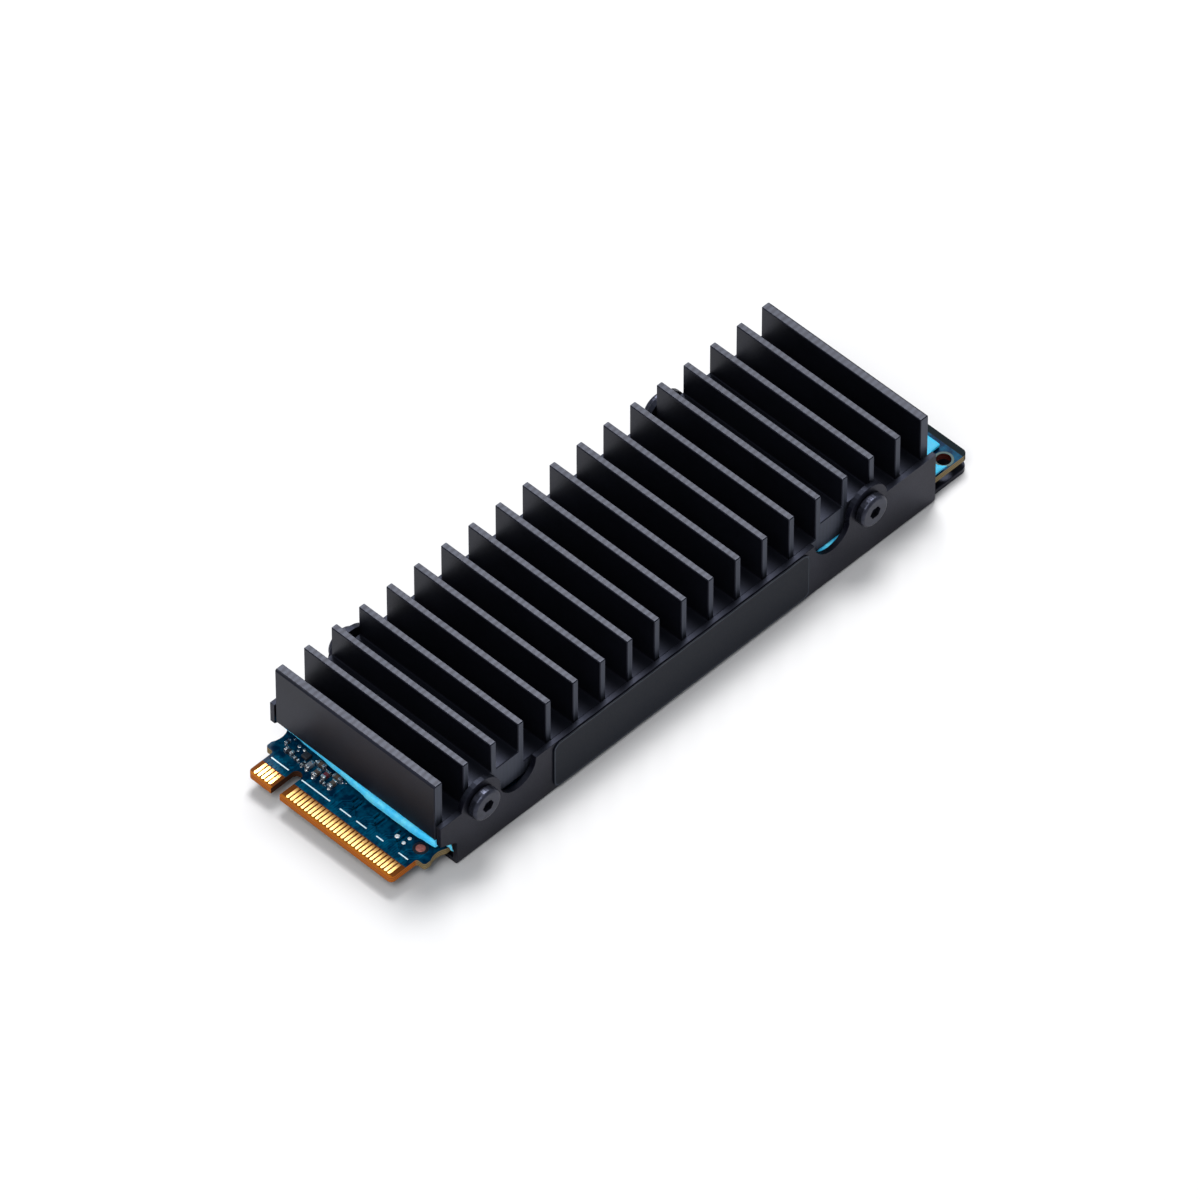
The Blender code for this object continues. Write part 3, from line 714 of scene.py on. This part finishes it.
bumps = {
    "small": ((-33.88, 9.56, 0.14), (-34.21, 8.61, 0.21), (-34.70, 8.29, 0.15), (-34.19, 7.89, 0.20),
              (-34.40, 1.95, 0.11)),
    "levelled": ((-35.74, -6.49, 0.27), (-35.91, -7.54, 0.21), (-35.11, -7.56, 0.21)),
    "rise": 0.4,                 # height as a share of the radius
    "round": 0.95,               # how much of the height the round edge takes
    "target": (-35.24, -9.20),
    "targetRadius": 0.5 * mm,
    "openingRadius": 0.82 * mm,
    "openingRise": 0.016 * mm,
    "targetRise": 0.035 * mm,
    "targetEdge": 0.014 * mm,
    "targetSides": 40,
}


def makeBumps(name, places, finish):
    # Low domes of solder, each a disc whose upper edge is rounded off
    parts = []
    for x, y, radius in places:
        radius *= mm
        height = radius * bumps["rise"]
        drop = startDisc("drop", (x * mm, y * mm, boardTop), radius, height)
        bpy.ops.object.mode_set(mode="EDIT")
        pickEdges(drop, lambda middle, run: middle.z > boardTop + height * 0.9)
        bpy.ops.mesh.bevel(offset=height * bumps["round"], segments=4)
        bpy.ops.object.mode_set(mode="OBJECT")
        parts.append(drop)
    made = joinPieces(name, parts)
    paintSlots(made, finish)
    finishPiece(made, "board")


def makeTarget():
    # A copper disc for placing the parts by, in its dark opening in the mask
    x, y = bumps["target"]
    centre = (x * mm, y * mm, boardTop)
    sides = bumps["targetSides"]
    opening = startDisc("opening", centre, bumps["openingRadius"], bumps["openingRise"], sides)
    paintSlots(opening, darkCeramic)
    target = startDisc("target", centre, bumps["targetRadius"], bumps["targetRise"], sides)
    roundEdges(target, bumps["targetEdge"])
    paintSlots(target, copperFinish)
    finishPiece(joinPieces("copperTarget", [opening, target]), "board")


makeBumps("tinnedPads", bumps["small"], tinWithPaintedGlints)
makeBumps("levelledPads", bumps["levelled"], solderFinish)
makeTarget()
print("marks, bumps and target made")


# Capacitors and resistors: a ceramic body between two tinned ends, each on its fillet of solder

chipLook = {
    "capShare": 0.27,            # metal at each end, as a share of the length
    "swell": 0.015 * mm,
    "edge": 0.03 * mm,
    "fillet": 0.17 * mm,
    "filletFoot": 0.6,           # how far it climbs, as a share of its reach
    "filletHollow": 0.12,        # under 0.5 is hollow
    "bodies": {"capacitor_1": darkCeramic, "capacitor_2": darkCeramic, "capacitor_3": darkCeramic,
               "resistor_1": darkCeramic, "capacitor_4": greyCeramic, "capacitor_7": redCeramic,
               "resistor_2": darkCeramic},
}


def makeFillet(low, high, axis, side):
    # A block of solder whose outer top edge is hollowed to a wetted curve
    reach = chipLook["fillet"]
    end = high[axis] if side > 0 else low[axis]
    cap = chipLook["capShare"] * (high[axis] - low[axis])
    top = low.z + reach * chipLook["filletFoot"]
    corner = [Vector((low.x, low.y, boardTop)), Vector((high.x, high.y, top))]
    corner[0][axis] = min(end - side * cap, end + side * reach)
    corner[1][axis] = max(end - side * cap, end + side * reach)
    block = startBlock("fillet", *corner)
    bpy.ops.object.mode_set(mode="EDIT")
    pickEdges(block, lambda middle, run: (middle[axis] - end) * side > reach * 0.9 and middle.z > low.z)
    bpy.ops.mesh.bevel(offset=min(reach, top - boardTop) * 0.95, segments=4,
                       profile=chipLook["filletHollow"])
    bpy.ops.object.mode_set(mode="OBJECT")
    paintSlots(block, tinWithPaintedGlints)
    return block


def makeCappedChip(name):
    # The block is cut through at each cap, and the caps are swollen a little
    low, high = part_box(name)
    size = high - low
    axis = 0 if size.x > size.y else 1
    middle = (low[axis] + high[axis]) / 2
    waist = size[axis] * (0.5 - chipLook["capShare"])
    direction = Vector((0, 0, 0))
    direction[axis] = 1
    chip = startBlock("chip", low, high)
    roundEdges(chip, chipLook["edge"])
    bpy.ops.object.mode_set(mode="EDIT")
    for cut in (middle - waist, middle + waist):
        bpy.ops.mesh.select_all(action="SELECT")
        bpy.ops.mesh.bisect(plane_co=direction * cut, plane_no=direction)
    pickFaces(chip, lambda centre, normal: abs(centre[axis] - middle) > waist)
    bpy.ops.mesh.extrude_region_shrink_fatten(TRANSFORM_OT_shrink_fatten={"value": chipLook["swell"]})
    bpy.ops.object.mode_set(mode="OBJECT")
    paintSlots(chip, chipLook["bodies"].get(name, tanCeramic), tinWithPaintedGlints)
    paintWhere(chip, 1, lambda centre, normal: abs(centre[axis] - middle) > waist * 0.99)
    fillets = [makeFillet(low, high, axis, side) for side in (-1, 1)]
    made = joinPieces("soldered_" + name, [chip] + fillets)
    finishPiece(made, "chip_ceramic", name)


for name in nodes:
    if name.startswith(("capacitor_", "resistor_")):
        makeCappedChip(name)
print("small parts made")


# Thermal pads: soft copies of the CAD solids, squeezed out a little at the edges

padShape = {
    "voxel": 0.25 * mm,
    "smooth": 6,
    "smoothFactor": 0.5,
    "keep": 0.4,                 # share of the faces kept after the remesh
    "ripple": 0.06 * mm,
    "rippleSize": 1.6 * mm,
    "lumps": (((-33.60, -10.95, 3.75), (0.45, 0.30, 0.40)), ((-33.42, -11.22, 3.05), (0.44, 0.30, 0.42)),
              ((-33.22, -11.36, 2.45), (0.30, 0.24, 0.55)), ((-33.10, -11.40, 1.95), (0.18, 0.18, 0.42)),
              ((20.0, -10.95, 3.95), (2.4, 0.42, 0.55))),
}


def makePad(name, node, slot, lumps=()):
    # A remeshed copy with its lumps fused on, smoothed and rippled
    pad = bpy.data.objects.new(name, nodes[node].data.copy())
    bpy.context.collection.objects.link(pad)
    bpy.ops.object.select_all(action="DESELECT")
    pad.select_set(True)
    bpy.context.view_layer.objects.active = pad
    bpy.ops.object.mode_set(mode="EDIT")
    bpy.ops.mesh.select_all(action="SELECT")
    bpy.ops.mesh.remove_doubles(threshold=0.001 * mm)
    bpy.ops.object.mode_set(mode="OBJECT")
    parts = [pad]
    for centre, radii in lumps:
        parts.append(startBall("lump", Vector(centre) * mm, Vector(radii) * mm))
    pad = joinPieces(name, parts)
    remesh = pad.modifiers.new("remesh", "REMESH")
    remesh.mode = "VOXEL"
    remesh.voxel_size = padShape["voxel"]
    soften = pad.modifiers.new("soften", "SMOOTH")
    soften.factor = padShape["smoothFactor"]
    soften.iterations = padShape["smooth"]
    ripple = pad.modifiers.new("ripple", "DISPLACE")
    ripple.texture = bpy.data.textures.new(name, "CLOUDS")
    ripple.texture.noise_scale = padShape["rippleSize"]
    ripple.texture_coords = "LOCAL"
    ripple.strength = padShape["ripple"]
    thin = pad.modifiers.new("thin", "DECIMATE")
    thin.ratio = padShape["keep"]
    for step in ("remesh", "soften", "ripple", "thin"):
        bpy.ops.object.modifier_apply(modifier=step)
    paintSlots(pad, padFinish)
    finishPiece(pad, slot, node)


makePad("upperPad", "thermal_pad_top", "silicone_pad", padShape["lumps"])
makePad("lowerPad", "thermal_pad_bottom", "silicone_pad")
print("pads made")


# Label: bare printed film with a thin paler border

labelLook = {
    "corner": 0.9 * mm,
    "margin": 0.08 * mm,         # bare film outside the border
    "border": 0.10 * mm,
}


def makeLabel():
    low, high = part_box("side_label")
    label = startBlock("bareLabel", low, high)
    bpy.ops.object.mode_set(mode="EDIT")
    pickEdges(label, lambda middle, run: abs(run.y) > aligned)
    bpy.ops.mesh.bevel(offset=labelLook["corner"], segments=8)
    pickFaces(label, lambda centre, normal: normal.y < -aligned)
    bpy.ops.mesh.inset(thickness=labelLook["margin"])
    bpy.ops.mesh.inset(thickness=labelLook["border"])
    bpy.ops.object.mode_set(mode="OBJECT")
    paintSlots(label, labelFinish, borderFinish)
    for face in label.data.polygons:
        if face.normal.y > -aligned:
            continue
        reach = [abs(label.data.vertices[i].co.x - low.x) for i in face.vertices]
        rise = [abs(label.data.vertices[i].co.z - low.z) for i in face.vertices]
        edges = min(min(reach), high.x - low.x - max(reach), min(rise), high.z - low.z - max(rise))
        narrow = face.area < 0.2 * (high.x - low.x) * (high.z - low.z)
        if edges > labelLook["margin"] / 2 and len(face.vertices) == 4 and narrow:
            face.material_index = 1
    finishPiece(label, "label_film", "side_label")


makeLabel()
print("label made")


# Floor, light and camera

def layFloor():
    bpy.ops.object.select_all(action="DESELECT")
    bpy.ops.mesh.primitive_plane_add(size=6.0, location=(0, 0, -0.02 * mm))
    floor = bpy.context.object
    floor.name = "floor"
    made, tree, shader = newMaterial("mattPaper", Roughness=0.9)
    cloud = noise(tree, 90.0, 2.0)
    colourFrom(tree, shader, mottled(tree, cloud, "#B6B6B7", "#BABABB"))
    floor.data.materials.append(made)


studio = {
    "boxes": (("backBox", 128.0, 62.0, 0.34, 9.5), ("frontBox", -72.0, 56.0, 0.40, 3.4)),
    "distance": 0.8,
    "colour": (1.0, 0.995, 0.99),
    "skyColour": (0.93, 0.96, 1.0),
    "skyStrength": 0.57,
}


def outward(azimuth, elevation):
    # Direction from the object to a light or the camera, azimuth 0 being in front
    turn = math.radians(azimuth)
    rise = math.radians(elevation)
    return Vector((math.sin(turn) * math.cos(rise), -math.cos(turn) * math.cos(rise), math.sin(rise)))


def addSoftbox(name, azimuth, elevation, size, power):
    back = outward(azimuth, elevation)
    light = bpy.data.lights.new(name, "AREA")
    light.shape = "SQUARE"
    light.size = size
    light.energy = power
    light.color = studio["colour"]
    made = bpy.data.objects.new(name, light)
    bpy.context.collection.objects.link(made)
    made.location = back * studio["distance"]
    made.rotation_euler = (-back).to_track_quat("-Z", "Y").to_euler()


def lightScene():
    for box in studio["boxes"]:
        addSoftbox(*box)
    world = bpy.data.worlds.new("studio")
    bpy.context.scene.world = world
    world.use_nodes = True
    sky = world.node_tree.nodes["Background"]
    sky.inputs["Color"].default_value = (*studio["skyColour"], 1.0)
    sky.inputs["Strength"].default_value = studio["skyStrength"]


cameraView = {
    "azimuth": -45.414,
    "elevation": 47.982,
    "distance": 1.45529,
    "lens": 442.04,
    "shiftX": -0.0064,
    "shiftY": 0.0178,
    "aim": (0, 0, 0.2 * mm),
}


def placeCamera():
    back = outward(cameraView["azimuth"], cameraView["elevation"])
    camera = bpy.data.cameras.new("camera")
    camera.sensor_width = 36.0
    camera.lens = cameraView["lens"]
    camera.shift_x = cameraView["shiftX"]
    camera.shift_y = cameraView["shiftY"]
    camera.clip_start = 0.05
    camera.clip_end = 20.0
    made = bpy.data.objects.new("camera", camera)
    bpy.context.collection.objects.link(made)
    made.location = Vector(cameraView["aim"]) + back * cameraView["distance"]
    made.rotation_euler = (-back).to_track_quat("-Z", "Y").to_euler()
    bpy.context.scene.camera = made


layFloor()
lightScene()
placeCamera()
bpy.context.scene.view_settings.view_transform = "Standard"
print("stage set")
